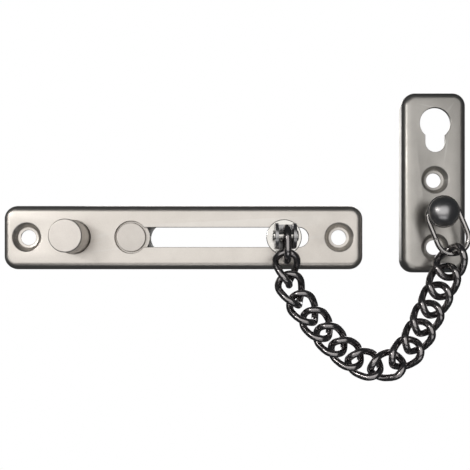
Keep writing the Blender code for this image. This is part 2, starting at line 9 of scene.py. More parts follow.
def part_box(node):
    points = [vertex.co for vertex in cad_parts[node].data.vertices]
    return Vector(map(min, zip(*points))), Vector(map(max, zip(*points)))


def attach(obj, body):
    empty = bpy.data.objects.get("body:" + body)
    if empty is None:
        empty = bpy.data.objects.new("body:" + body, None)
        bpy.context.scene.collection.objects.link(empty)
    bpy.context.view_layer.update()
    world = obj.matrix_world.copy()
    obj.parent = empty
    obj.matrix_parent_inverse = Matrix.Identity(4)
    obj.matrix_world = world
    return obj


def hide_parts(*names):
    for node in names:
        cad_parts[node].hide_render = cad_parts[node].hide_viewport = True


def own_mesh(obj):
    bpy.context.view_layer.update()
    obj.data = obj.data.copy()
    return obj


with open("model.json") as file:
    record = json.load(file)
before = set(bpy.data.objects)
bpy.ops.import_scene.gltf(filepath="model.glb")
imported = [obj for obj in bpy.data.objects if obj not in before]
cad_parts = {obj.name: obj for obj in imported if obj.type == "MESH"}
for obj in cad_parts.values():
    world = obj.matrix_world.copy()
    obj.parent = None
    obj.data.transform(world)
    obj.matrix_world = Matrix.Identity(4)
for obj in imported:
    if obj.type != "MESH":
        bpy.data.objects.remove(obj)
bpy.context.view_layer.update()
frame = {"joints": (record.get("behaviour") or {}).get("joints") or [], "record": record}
RECORD = frame["record"]
JOINTS = {joint["name"]: joint for joint in frame["joints"]}
BODY_OF = {node: body for body, nodes in RECORD["behaviour"]["bodies"].items() for node in nodes}
SLOT_OF = {part["node"]: part["material_slot"] for part in RECORD["subparts"]}

# Lengths are in metres. A height is a distance in front of the door face, the plane Y = 0.
SHEET = 0.0010  # thickness of both plates
CORNER_RADIUS = 0.0053  # corners of the plates' outline
EDGE_RADIUS = 0.0030  # where the front turns into the rim
LIP = 0.00022  # rounding of a punched hole's edge
NICK = 0.0001  # softening of a sheared edge
GAP = 0.0003  # clearance between separate pieces

ENTRY_RADIUS, SLOT_HALF_WIDTH = 0.0064, 0.0039
KEYHOLE_Z, KEYHOLE_RADIUS, KEYHOLE_REACH = 0.0453, 0.0061, 0.0076
SLOT_PLATE_SCREWS = ((-0.0620, 0.0), (0.0620, 0.0))
JAMB_PLATE_SCREWS = ((0.1000, 0.0228), (0.1000, -0.0040))
# Radius of a screw dimple at the front, and of its hole.
SLOT_PLATE_DIMPLE, JAMB_PLATE_DIMPLE = (0.0057, 0.0030), (0.0053, 0.0029)
DIMPLE_DEPTH, DIMPLE_LEDGE = 0.0027, 0.00105

BUTTON_X, BUTTON_RADIUS, BUTTON_TOP, BUTTON_EDGE, BUTTON_CROWN = -0.0433, 0.0064, 0.0160, 0.00045, 0.00006
DISC_X, DISC_RADIUS, DISC_TOP, DISC_EDGE, DISC_CROWN = -0.0206, 0.0057, 0.00585, 0.00022, 0.00002
PLUG_STEP_RADIUS, PLUG_STEP_TOP, PLUG_STEP_LOW = 0.0073, 0.0047, 0.0043
PLUG_TAIL_RADIUS, PLUG_TAIL_LOW, TAIL_HOLE_RADIUS = 0.0016, 0.0035, 0.0019
POST_HOLE_RADIUS = 0.0011
NOTCH_RADIUS, NOTCH_HALF_WIDTH, NOTCH_REACH = 0.0056, 0.0050, 0.004

SPRING_WIRE_RADIUS, SPRING_WIDE, SPRING_NARROW, SPRING_TURNS = 0.000225, 0.0046, 0.0028, 3

PIN_HEIGHT, PIN_RADIUS, PIN_BORE_RADIUS, PIN_HEAD, PIN_HEAD_RADIUS = 0.0143, 0.0015, 0.0018, 0.0007, 0.0021
CLEVIS_SHEET, CLEVIS_LOW, CLEVIS_TOP, CLEVIS_EAR = 0.0012, 0.0074, 0.0081, 0.0048
CLEVIS_FOLD, CLEVIS_INNER_FOLD, CLEVIS_NICK, RIVET_HOLE_RADIUS = 0.0007, 0.0003, 0.00012, 0.0019

STUD_NECK_RADIUS, STUD_FOOT_RADIUS = 0.0023, 0.0036
STUD_RIM_HEIGHT, STUD_RIM_THICK, STUD_RIM_RADIUS = 0.0140, 0.0007, 0.0062
STUD_DOME_RADIUS, STUD_DOME_RISE, COLLAR_ROUNDING = 0.00565, 0.0036, 0.0003


# ---------------------------------------------------------------- materials

def nodes_of(name):
    made = bpy.data.materials.new(name)
    made.use_nodes = True
    tree = made.node_tree
    return made, tree, tree.nodes["Principled BSDF"]


def add(tree, kind, inputs=(), **settings):
    node = tree.nodes.new(kind)
    for key, value in settings.items():
        setattr(node, key, value)
    for key, value in dict(inputs).items():
        node.inputs[key].default_value = value
    return node


def noise(tree, source, scale, detail=3.0, roughness=0.5, stretch=(1, 1, 1)):
    mapping = add(tree, "ShaderNodeMapping", {"Scale": stretch})
    tree.links.new(source, mapping.inputs["Vector"])
    made = add(tree, "ShaderNodeTexNoise", {"Scale": scale, "Detail": detail, "Roughness": roughness})
    tree.links.new(mapping.outputs["Vector"], made.inputs["Vector"])
    return made.outputs["Fac"]


def ramp(tree, source, low, high, low_colour, high_colour):
    made = add(tree, "ShaderNodeValToRGB")
    made.color_ramp.elements[0].position = low
    made.color_ramp.elements[1].position = high
    made.color_ramp.elements[0].color = (*low_colour, 1)
    made.color_ramp.elements[1].color = (*high_colour, 1)
    tree.links.new(source, made.inputs["Fac"])
    return made.outputs["Color"]


def remap(tree, source, low, high):
    """Spreads the middle half of a noise over low to high."""
    made = add(tree, "ShaderNodeMapRange",
               {"From Min": 0.25, "From Max": 0.75, "To Min": low, "To Max": high})
    tree.links.new(source, made.inputs["Value"])
    return made.outputs["Result"]


def mixed(tree, factor, a, b, blend="MIX"):
    made = tree.nodes.new("ShaderNodeMix")
    made.data_type = "RGBA"
    made.blend_type = blend
    if isinstance(factor, float):
        made.inputs["Factor"].default_value = factor
    else:
        tree.links.new(factor, made.inputs["Factor"])
    tree.links.new(a, made.inputs["A"])
    tree.links.new(b, made.inputs["B"])
    return made.outputs["Result"]


def metal(name, dark, light, rough, grain=0.0, grain_scale=2600.0, patch_scale=45.0, wear=None,
          stretch=(1, 1, 1), wear_share=0.25):
    """Plated metal: patchy colour, uneven gloss, a fine grain, and paler or darker worn edges."""
    made, tree, shader = nodes_of(name)
    where = tree.nodes.new("ShaderNodeTexCoord").outputs["Object"]
    patches = noise(tree, where, patch_scale, 4.0, 0.55)
    speckle = noise(tree, where, grain_scale, 2.0, 0.6, stretch)
    colour = ramp(tree, patches, 0.32, 0.68, dark, light)
    middle = [(a + b) / 2 for a, b in zip(dark, light)]
    fine_dark, fine_light = [c * 0.93 for c in middle], [min(1.0, c * 1.07) for c in middle]
    fine = ramp(tree, speckle, 0.3, 0.7, fine_dark, fine_light)
    colour = mixed(tree, 0.35, colour, fine)
    if wear:
        edge = tree.nodes.new("ShaderNodeNewGeometry").outputs["Pointiness"]
        strong = add(tree, "ShaderNodeMapRange",
                     {"From Min": 0.52, "From Max": 0.60, "To Min": 0.0, "To Max": wear_share})
        tree.links.new(edge, strong.inputs["Value"])
        worn = ramp(tree, patches, 0.4, 0.6, [c * 0.85 for c in wear], wear)
        colour = mixed(tree, strong.outputs["Result"], colour, worn)
    tree.links.new(colour, shader.inputs["Base Color"])
    shader.inputs["Metallic"].default_value = 1.0
    smudge = noise(tree, where, patch_scale * 5, 3.0, 0.6)
    tree.links.new(remap(tree, smudge, rough[0], rough[1]), shader.inputs["Roughness"])
    if grain:
        bump = add(tree, "ShaderNodeBump", {"Strength": grain, "Distance": 0.00002})
        tree.links.new(speckle, bump.inputs["Height"])
        tree.links.new(bump.outputs["Normal"], shader.inputs["Normal"])
    return made


MATERIALS = {
    "satin_nickel": metal("satin_nickel", (0.66, 0.62, 0.575), (0.74, 0.70, 0.655), (0.33, 0.40), 0.35,
                          wear=(0.85, 0.83, 0.80)),
    # The jamb plate's copy of the satin nickel is darker to paint in the dimmer light on the jamb plate:
    # painted shade.
    "satin_nickel_jamb": metal("satin_nickel_jamb", (0.50, 0.48, 0.45), (0.57, 0.55, 0.52), (0.34, 0.42),
                               0.35, wear=(0.80, 0.79, 0.76)),
    "button_nickel": metal("button_nickel", (0.66, 0.62, 0.58), (0.73, 0.69, 0.65), (0.34, 0.42), 0.3,
                           patch_scale=120.0, wear=(0.85, 0.83, 0.80)),
    "disc_nickel": metal("disc_nickel", (0.62, 0.585, 0.545), (0.69, 0.65, 0.61), (0.38, 0.46), 0.3,
                         patch_scale=120.0),
    "bright_nickel": metal("bright_nickel", (0.70, 0.68, 0.64), (0.80, 0.78, 0.75), (0.16, 0.28), 0.15,
                           patch_scale=150.0, wear=(0.9, 0.9, 0.88)),
    "black_nickel": metal("black_nickel", (0.40, 0.395, 0.40), (0.48, 0.475, 0.48), (0.30, 0.36), 0.05,
                          patch_scale=150.0, wear=(0.55, 0.54, 0.52), wear_share=0.5),
    "chain_steel": metal("chain_steel", (0.27, 0.255, 0.257), (0.37, 0.352, 0.352), (0.17, 0.25), 0.04,
                         patch_scale=180.0, wear=(0.5, 0.49, 0.48), wear_share=0.3),
    "ring_steel": metal("ring_steel", (0.40, 0.385, 0.375), (0.52, 0.50, 0.49), (0.18, 0.26), 0.05,
                        patch_scale=180.0, wear=(0.7, 0.69, 0.68)),
    # The zinc plating's base colour is darkened to paint in the shade on the bridge strip seen behind the
    # plate: painted shade.
    "zinc_steel": metal("zinc_steel", (0.45, 0.455, 0.46), (0.60, 0.60, 0.60), (0.38, 0.55), 0.4,
                        patch_scale=90.0, wear=(0.75, 0.75, 0.75)),
    "spring_steel": metal("spring_steel", (0.30, 0.30, 0.31), (0.42, 0.42, 0.43), (0.26, 0.36), 0.2,
                          patch_scale=300.0),
}


# ---------------------------------------------------------------- mesh tools

def mesh_object(name, vertices, faces):
    mesh = bpy.data.meshes.new(name)
    mesh.from_pydata([tuple(v) for v in vertices], [], faces)
    mesh.validate()
    item = bpy.data.objects.new(name, mesh)
    bpy.context.scene.collection.objects.link(item)
    return item


def outward(item):
    work = bmesh.new()
    work.from_mesh(item.data)
    bmesh.ops.remove_doubles(work, verts=work.verts, dist=1e-7)
    bmesh.ops.recalc_face_normals(work, faces=work.faces)
    work.to_mesh(item.data)
    work.free()
    return item


def shade(item, angle=32):
    item.data.shade_smooth()
    item.data.set_sharp_from_angle(angle=math.radians(angle))
    return item


def applied(item):
    """The item with its modifiers made final."""
    bpy.context.view_layer.update()
    graph = bpy.context.evaluated_depsgraph_get()
    mesh = bpy.data.meshes.new_from_object(item.evaluated_get(graph))
    item.modifiers.clear()
    old = item.data
    item.data = mesh
    bpy.data.meshes.remove(old)
    return item


def cut(item, tools, operation="DIFFERENCE"):
    for tool in tools:
        step = item.modifiers.new("cut", "BOOLEAN")
        step.operation = operation
        step.solver = "MANIFOLD"
        step.object = tool
    applied(item)
    for tool in tools:
        bpy.data.objects.remove(tool, do_unlink=True)
    return item


def finished(item, node, angle=32):
    """Shades a piece, gives it the node's finish and lets it stand for that node."""
    shade(item, angle)
    slot = SLOT_OF[node]
    item.data.materials.clear()
    item.data.materials.append(MATERIALS[slot])
    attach(item, BODY_OF[node])
    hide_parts(node)
    return item


def arc(centre, radius, start, end, steps):
    points = []
    for i in range(steps + 1):
        angle = math.radians(start + (end - start) * i / steps)
        points.append((centre[0] + radius * math.cos(angle), centre[1] + radius * math.sin(angle)))
    return points


def loft(name, rings):
    """A closed body through rings of points, each ring a list of equal length, with flat ends."""
    count = len(rings[0])
    vertices = [point for ring in rings for point in ring]
    faces = [tuple(range(count)), tuple(range((len(rings) - 1) * count, len(rings) * count))]
    for a in range(len(rings) - 1):
        for i in range(count):
            j = (i + 1) % count
            faces.append((a * count + i, a * count + j, (a + 1) * count + j, (a + 1) * count + i))
    return outward(mesh_object(name, vertices, faces))


def stacked(name, outline, profile):
    """A loft of one outline, whose outline(offset) gives (x, z). The profile is (offset, height) points."""
    return loft(name, [[(x, -height, z) for x, z in outline(offset)] for offset, height in profile])


def turned(name, profile, x, z, steps=96, lie_along=None):
    """A body turned from a closed run of (radius, height) points about an axis square to the door."""
    vertices = []
    faces = []
    rows = []
    for radius, height in profile:
        if radius < 1e-7:
            rows.append([len(vertices)] * steps)
            vertices.append((0.0, 0.0, height))
            continue
        rows.append(list(range(len(vertices), len(vertices) + steps)))
        for i in range(steps):
            angle = 2 * math.pi * i / steps
            vertices.append((radius * math.cos(angle), radius * math.sin(angle), height))
    closed = profile[0][0] > 1e-7 or profile[-1][0] > 1e-7
    pairs = list(zip(rows, rows[1:]))
    if closed:
        pairs.append((rows[-1], rows[0]))
    for low, high in pairs:
        for i in range(steps):
            j = (i + 1) % steps
            face = []
            for corner in (low[i], low[j], high[j], high[i]):
                if corner not in face:
                    face.append(corner)
            if len(face) > 2:
                faces.append(tuple(face))
    item = mesh_object(name, vertices, faces)
    if lie_along == "X":
        turn = Matrix.Rotation(math.pi / 2, 4, "Y")
        item.data.transform(Matrix.Translation((x, 0, 0)) @ turn)
    else:
        turn = Matrix.Rotation(math.pi / 2, 4, "X")
        item.data.transform(Matrix.Translation((x, 0, z)) @ turn)
    return outward(item)


def rounded_rectangle(x, z, half_x, half_z, radius, steps=14):
    """outline(offset) of a rounded rectangle that shrinks by the offset."""
    def outline(offset):
        r = max(radius - offset, 0.0002)
        hx, hz = half_x - offset, half_z - offset
        points = []
        for sx, sz, start in ((1, 1, 0), (-1, 1, 90), (-1, -1, 180), (1, -1, 270)):
            points += arc((x + sx * (hx - r), z + sz * (hz - r)), r, start, start + 90, steps)
        return points
    return outline


def circle(x, z, radius, steps=96):
    return lambda offset: arc((x, z), radius + offset, 0, 360 - 360 / steps, steps - 1)


def keyhole(x, z, radius, half_width, end, turn=0.0, steps=72):
    """outline(offset) of a round hole that opens into a round-ended slot, grown by the offset."""
    def outline(offset):
        r, w = radius + offset, half_width + offset
        mouth = math.degrees(math.asin(w / r))
        points = arc((0, 0), r, mouth, 360 - mouth, steps) + arc((end, 0), w, -90, 90, steps // 2)
        c, s = math.cos(turn), math.sin(turn)
        return [(x + c * a - s * b, z + s * a + c * b) for a, b in points]
    return outline


# ---------------------------------------------------------------- plates

def tray(name, x, z, half_x, half_z, depth):
    """A rounded sheet tray that is open at the back, as one closed body."""
    outline = rounded_rectangle(x, z, half_x, half_z, CORNER_RADIUS)
    bevel = [(EDGE_RADIUS * (1 - c), depth - EDGE_RADIUS + EDGE_RADIUS * s)
             for c, s in arc((0, 0), 1, 0, 90, 12)]
    inner_radius = EDGE_RADIUS - SHEET
    inner = [(SHEET + inner_radius * (1 - c), depth - EDGE_RADIUS + inner_radius * s)
             for c, s in arc((0, 0), 1, 0, 90, 8)]
    foot = 0.00015  # softening where the rim meets the door
    outer_profile = [(foot, 0.0), (0.0, foot)] + bevel
    inner_profile = list(reversed(inner)) + [(SHEET, foot), (SHEET - foot, 0.0)]
    rings = [[(a, -h, b) for a, b in outline(o)] for o, h in outer_profile]
    inner_rings = [[(a, -h, b) for a, b in outline(o)] for o, h in inner_profile]
    count = len(rings[0])
    everything = rings + inner_rings
    vertices = [p for ring in everything for p in ring]
    faces = []
    front, under = len(rings) - 1, len(rings)
    for a in range(len(everything)):
        b = (a + 1) % len(everything)
        if a == front:
            continue
        for i in range(count):
            j = (i + 1) % count
            faces.append((a * count + i, a * count + j, b * count + j, b * count + i))
    faces.append(tuple(range(front * count, (front + 1) * count)))
    faces.append(tuple(range(under * count, (under + 1) * count)))
    return outward(mesh_object(name, vertices, faces))


def through(name, outline, front):
    """A cutter through the sheet, whose edge at the front is slightly rounded."""
    lip = [(LIP * (1 - c), front - LIP + LIP * s) for c, s in arc((0, 0), 1, 0, 75, 4)]
    profile = [(0.0, front - 2.2 * SHEET)] + lip + [(LIP * 4, front + LIP * 3)]
    return stacked(name, outline, profile)


def dimple_tools(x, z, radii, front):
    """The boss behind a screw dimple and the cutter in front of it: a cone, a ledge and a hole."""
    outer, hole = radii
    base = front - DIMPLE_DEPTH
    ledge = hole + DIMPLE_LEDGE
    boss = [(0, front - SHEET * 0.5), (outer + SHEET * 0.85, front - SHEET * 0.5),
            (outer + SHEET * 0.7, front - SHEET * 1.02), (hole + SHEET * 1.05, base + NICK),
            (hole + SHEET * 0.95, base), (0, base)]
    slope = base + SHEET * 0.72
    mouth = [(0, front + SHEET), (outer + 0.0008, front + SHEET), (outer + 0.00035, front),
             (outer + 0.00012, front - 0.00003), (outer - 0.00008, front - 0.00016)]
    step = [(ledge + 0.00014, slope + 0.00012), (ledge + 0.00004, slope + 0.00002),
            (ledge - 0.0001, slope - 0.00002)]
    bore = [(hole + 0.00014, slope - 0.00004), (hole + 0.00004, slope - 0.0001), (hole, slope - 0.0002),
            (hole, base + 0.0002), (hole + 0.00015, base - 0.0001),
            (hole + 0.00015, base - SHEET), (0, base - SHEET)]
    return turned("boss", boss, x, z), turned("sink", mouth + step + bore, x, z)


def plate(node, holes, screws, radii):
    low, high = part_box(node)
    middle, half = (low + high) / 2, (high - low) / 2
    front = -low.y
    body = tray(node + "_sheet", middle.x, middle.z, half.x, half.z, front)
    bosses, sinks = zip(*(dimple_tools(x, z, radii, front) for x, z in screws))
    cut(body, bosses, "UNION")
    tools = list(sinks) + [through("hole", outline, front) for outline in holes]
    cut(body, tools)
    return finished(outward(body), node, 28)


def make_plates():
    disc_low, disc_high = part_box("lock_disc")
    button_low, button_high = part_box("release_button")
    disc, button = (disc_low + disc_high) / 2, (button_low + button_high) / 2
    slot_end = JOINTS["slider_slide"]["range_m"][1] + slider_x()
    slot = keyhole(disc.x, 0, ENTRY_RADIUS, SLOT_HALF_WIDTH, slot_end - disc.x)
    button_hole = circle(button.x, 0, BUTTON_RADIUS + GAP)
    plate("slot_plate", [slot, button_hole], SLOT_PLATE_SCREWS, SLOT_PLATE_DIMPLE)
    stud = stud_place()
    parking = keyhole(stud[0], KEYHOLE_Z, KEYHOLE_RADIUS, SLOT_HALF_WIDTH, KEYHOLE_REACH, -math.pi / 2)
    stud_hole = circle(*stud, STUD_NECK_RADIUS + GAP)
    plate("jamb_plate", [parking, stud_hole], JAMB_PLATE_SCREWS, JAMB_PLATE_DIMPLE)


def slider_x():
    low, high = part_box("slider_flange")
    return (low.x + high.x) / 2


def stud_place():
    low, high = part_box("jamb_stud")
    return (low.x + high.x) / 2, (low.z + high.z) / 2


# ---------------------------------------------------------------- lock

def rounded_plug(node, radius, top, edge, crown):
    """A round plug with a softened, slightly crowned face, a wide step under the sheet and a tail."""
    low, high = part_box(node)
    x = (low.x + high.x) / 2
    profile = [(0, top), (radius * 0.5, top - crown * 0.25), (radius - edge - 0.0001, top - crown)]
    profile += arc((radius - edge, top - edge - crown), edge, 84, 0, 8)
    profile += [(radius, PLUG_STEP_TOP + NICK), (radius + NICK, PLUG_STEP_TOP),
                (PLUG_STEP_RADIUS - NICK, PLUG_STEP_TOP), (PLUG_STEP_RADIUS, PLUG_STEP_TOP - NICK),
                (PLUG_STEP_RADIUS, PLUG_STEP_LOW), (PLUG_TAIL_RADIUS, PLUG_STEP_LOW),
                (PLUG_TAIL_RADIUS, PLUG_TAIL_LOW + NICK), (PLUG_TAIL_RADIUS - NICK, PLUG_TAIL_LOW),
                (0, PLUG_TAIL_LOW)]
    return finished(turned(node + "_turned", profile, x, 0, 128), node, 30)


def blank(name, node, corner_share):
    """A flat piece that fills the node's box, with rounded corners and softened edges."""
    low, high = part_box(node)
    middle, half = (low + high) / 2, (high - low) / 2
    edge = [(NICK, -high.y), (0.0, -high.y + NICK), (0.0, -low.y - NICK), (NICK, -low.y)]
    return stacked(name, rounded_rectangle(middle.x, middle.z, half.x, half.z, half.z * corner_share), edge)


def make_lock():
    rounded_plug("release_button", BUTTON_RADIUS, BUTTON_TOP, BUTTON_EDGE, BUTTON_CROWN)
    rounded_plug("lock_disc", DISC_RADIUS, DISC_TOP, DISC_EDGE, DISC_CROWN)
    bridge = blank("lock_bridge_strip", "lock_bridge", 0.8)
    holes = [stacked("tail_hole", circle(x, 0, TAIL_HOLE_RADIUS, 48), [(0, 0.002), (0, 0.005)])
             for x in (BUTTON_X, DISC_X)]
    finished(outward(cut(bridge, holes)), "lock_bridge", 30)
    retainer = blank("lock_retainer_sheet", "lock_retainer", 0.25)
    posts = [post_place(number) for number in (1, 2, 3, 4)]
    past_sheet = [(0, -0.001), (0, 0.002)]
    holes = [stacked("post_hole", circle(x, z, POST_HOLE_RADIUS, 40), past_sheet) for x, z in posts]
    # A round-bottomed notch keeps the slot clear beside the disc.
    notch = keyhole(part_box("lock_retainer")[1].x, 0, NOTCH_RADIUS, NOTCH_HALF_WIDTH, NOTCH_REACH)
    holes.append(stacked("slot_notch", notch, past_sheet))
    finished(outward(cut(retainer, holes)), "lock_retainer", 30)
    for number, (x, z) in enumerate(posts, 1):
        node = f"retainer_post_{number}"
        head = [(0, 0.0047), (0.00105, 0.0047), (0.0012, 0.00455), (0.0012, 0.00095), (0.00105, 0.00085)]
        tail = [(0.0008, 0.00085), (0.0008, 0.0002), (0.0007, 0.0001), (0, 0.0001)]
        finished(turned(node + "_rivet", head + tail, x, z, 40), node, 30)


def post_place(number):
    low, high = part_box(f"retainer_post_{number}")
    return (low.x + high.x) / 2, (low.z + high.z) / 2


def make_springs():
    for node, x in (("button_spring", BUTTON_X), ("disc_spring", DISC_X)):
        low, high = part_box(node)
        base, top = -high.y + SPRING_WIRE_RADIUS, -low.y - SPRING_WIRE_RADIUS
        per_turn = 40
        points = []
        for i in range(SPRING_TURNS * per_turn + 1):
            share = i / (SPRING_TURNS * per_turn)
            angle = 2 * math.pi * SPRING_TURNS * share
            radius = SPRING_WIDE + (SPRING_NARROW - SPRING_WIDE) * share
            height = base + (top - base) * share
            points.append(Vector((x + radius * math.cos(angle), -height, radius * math.sin(angle))))
        coil = tube(node + "_coil", points, lambda share: SPRING_WIRE_RADIUS, 12, closed=False)
        finished(coil, node, 50)
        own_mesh(coil)


# ---------------------------------------------------------------- wire

def tube(name, points, radius_at, sides, closed):
    """Round wire along points, carried without twist. radius_at(share of the way) gives its radius."""
    count = len(points)
    tangents = []
    for i in range(count):
        if closed:
            a, b = points[i - 1], points[(i + 1) % count]
        else:
            a, b = points[max(i - 1, 0)], points[min(i + 1, count - 1)]
        tangents.append((b - a).normalized())
    first = tangents[0]
    normal = Vector((0, 1, 0)).cross(first)
    if normal.length < 1e-4:
        normal = Vector((1, 0, 0)).cross(first)
    normal.normalize()
    frames = []
    for tangent in tangents:
        normal = (normal - tangent * normal.dot(tangent)).normalized()
        frames.append((normal.copy(), tangent.cross(normal)))
    # A closed run comes back turned, so the turn is shared out round it.
    slip = 0.0
    if closed:
        carried = (frames[-1][0] - tangents[0] * frames[-1][0].dot(tangents[0])).normalized()
        slip = math.atan2(carried.dot(frames[0][1]), carried.dot(frames[0][0]))
    rings = []
    for i, (point, (u, v)) in enumerate(zip(points, frames)):
        share = i / count if closed else i / (count - 1)
        back = -slip * share
        ring = []
        for k in range(sides):
            angle = 2 * math.pi * k / sides + back
            ring.append(point + (u * math.cos(angle) + v * math.sin(angle)) * radius_at(share))
        rings.append(ring)
    vertices = [p for ring in rings for p in ring]
    faces = []
    for a in range(count if closed else count - 1):
        b = (a + 1) % count
        for k in range(sides):
            j = (k + 1) % sides
            faces.append((a * sides + k, a * sides + j, b * sides + j, b * sides + k))
    if not closed:
        faces.append(tuple(range(sides)))
        faces.append(tuple(range((count - 1) * sides, count * sides)))
    return outward(mesh_object(name, vertices, faces))


def oval_points(length, width, wire_width, twist, count, first=0.0, last=1.0):
    """Points round an oval of wire in its own frame: X along it, Z across it, twisted about X."""
    reach = (length - wire_width) / 2
    bend = (width - wire_width) / 2
    straight = 2 * (reach - bend)
    turn = math.pi * bend
    points = []
    for i in range(count):
        way = (first + (last - first) * i / count) % 1.0 * 2 * (straight + turn)
        side = 1 if way < straight + turn else -1
        way = way % (straight + turn)
        if way < straight:
            along, across = way - straight / 2, -bend
        else:
            angle = (way - straight) / bend
            along, across = straight / 2 + bend * math.sin(angle), -bend * math.cos(angle)
        lean = twist * side * along / (2 * reach)
        across *= side
        points.append(Vector((side * along, -across * math.sin(lean), across * math.cos(lean))))
    return points


# The chain's layout: the route of the link centres (x, z), their steps and how each link is rolled.
CHAIN_ROUTE = (
    (0.0405, -0.0032), (0.0406, -0.0125), (0.0430, -0.0215), (0.0525, -0.0340), (0.0620, -0.0435),
    (0.0715, -0.0490), (0.0810, -0.0485), (0.0885, -0.0410), (0.0935, -0.0315), (0.0985, -0.0210),
    (0.1027, -0.0110), (0.1055, -0.0020), (0.1060, 0.0020),
)
LINK_STEPS_MM = (9.3, 8.3, 8.4, 7.8, 7.8, 7.8, 7.9, 8.4, 8.4, 7.9, 7.8, 7.8, 7.8, 8.1)
LINK_ROLLS_DEG = (90, -42, -30, -20, -10, -3, 0, 0, 0, 0, 0, -4, -10, -20, -34)
CHAIN_HEIGHTS = (0.0144, 0.0132)
LINK_LENGTH, LINK_WIDTH, LINK_WIRE = 0.0152, 0.0122, 0.0027
LINK_TWIST = math.radians(-95)
RING_LENGTH, RING_WIDTH, RING_WIRE, RING_HEIGHT = 0.0228, 0.0142, 0.00195, 0.0126


def smooth_route(points, samples):
    knots = [Vector(p) for p in points]
    knots = [2 * knots[0] - knots[1], *knots, 2 * knots[-1] - knots[-2]]
    route = []
    for a, b, c, d in zip(knots, knots[1:], knots[2:], knots[3:]):
        for i in range(samples):
            t = i / samples
            bend = 2 * a - 5 * b + 4 * c - d
            twist = 3 * b - a - 3 * c + d
            route.append((2 * b + (c - a) * t + bend * t**2 + twist * t**3) / 2)
    return route + [knots[-2]]


def step_along(route, steps):
    found = [route[0]]
    index = 0
    for step in steps:
        here = found[-1]
        while (route[index + 1] - here).length < step:
            index += 1
        a, b = route[index], route[index + 1]
        low, high = 0.0, 1.0
        for _ in range(40):
            middle = (low + high) / 2
            if (a.lerp(b, middle) - here).length < step:
                low = middle
            else:
                high = middle
        found.append(a.lerp(b, low))
    return found


def chain_layout():
    centres = step_along(smooth_route(CHAIN_ROUTE, 40), [s / 1000 for s in LINK_STEPS_MM])
    middles = [a.lerp(b, 0.5) for a, b in zip(centres, centres[1:])]
    starts = [centres[0] * 1.5 - centres[1] * 0.5, *middles]
    ends = [*middles, centres[-1] * 1.5 - centres[-2] * 0.5]
    return [(c, math.atan2((e - s).y, (e - s).x)) for c, s, e in zip(centres, starts, ends)]


def make_chain():
    links = chain_layout()
    for number, (centre, angle) in enumerate(links, 1):
        node = f"chain_link_{number:02d}"
        share = (number - 1) / (len(links) - 1)
        height = CHAIN_HEIGHTS[0] + (CHAIN_HEIGHTS[1] - CHAIN_HEIGHTS[0]) * share
        twist = 0.0 if number == 1 else LINK_TWIST
        points = oval_points(LINK_LENGTH, LINK_WIDTH, LINK_WIRE, twist, 96)

        def radius_at(way, seed=number):
            # A weld stands slightly proud on one leg, and drawn wire is never quite even.
            weld = math.exp(-((way - 0.06) / 0.012) ** 2) * 0.035
            ripple = 0.006 * math.sin(2 * math.pi * (3 * way + seed * 0.37))
            return LINK_WIRE / 2 * (0.995 + weld + ripple)

        link = tube(node + "_wire", points, radius_at, 28, closed=True)
        roll = math.radians(LINK_ROLLS_DEG[number - 1])
        turn = Matrix.Rotation(-angle, 4, "Y") @ Matrix.Rotation(roll, 4, "X")
        link.data.transform(Matrix.Translation((centre.x, -height, centre.y)) @ turn)
        finished(link, node, 60)


def make_ring():
    centre, angle = chain_layout()[-1]
    ahead = Vector((math.cos(angle), math.sin(angle)))
    end_wire = centre + ahead * (LINK_LENGTH - LINK_WIRE) / 2
    to_stud = (Vector(stud_place()) - end_wire).normalized()
    bottom = end_wire - to_stud * ((LINK_WIRE + RING_WIRE) / 2 + GAP)
    middle = bottom + to_stud * (RING_LENGTH - RING_WIRE) / 2
    opening = 0.0003 / (math.pi * (RING_LENGTH + RING_WIDTH) / 2)
    first, last = 0.62 + opening / 2, 1.62 - opening / 2
    count = 150
    points = [oval_points(RING_LENGTH, RING_WIDTH, RING_WIRE, 0, 1, share, share)[0]
              for share in (first + (last - first) * i / count for i in range(count + 1))]

    def radius_at(way):
        # The sheared ends are slightly rounded.
        end = min(way, 1 - way) * count
        return RING_WIRE / 2 * (0.995 if end > 0.9 else 0.90 + 0.095 * end / 0.9)

    ring = tube("stud_ring_wire", points, radius_at, 28, closed=False)
    turn = Matrix.Rotation(-math.atan2(to_stud.y, to_stud.x), 4, "Y")
    ring.data.transform(Matrix.Translation((middle.x, -RING_HEIGHT, middle.y)) @ turn)
    finished(ring, "stud_ring", 40)


# ---------------------------------------------------------------- slider, clevis and ball stud

def make_slider():
    x = slider_x()
    rivet = [(0, 0.0081), (0.0012, 0.0081), (0.0016, 0.0078), (0.0016, 0.0060)]
    shank = [(0.0036, 0.0060), (0.0036, 0.00482), (0.00372, 0.0047)]
    head = [(0.0059, 0.0047), (0.0060, 0.0046), (0.0060, 0.0038), (0.0059, 0.0037), (0, 0.0037)]
    finished(turned("slider_stud_turned", rivet + shank + head, x, 0), "slider_stud", 30)
    flange = [(0.0019, 0.0071)] + [(0.0066 + a, 0.0067 + b) for a, b in arc((0, 0), 0.0004, 90, -60, 8)]
    flange += [(0.0067, 0.0063), (0.0019, 0.0063)]
    finished(turned("slider_flange_turned", flange, x, 0), "slider_flange", 30)


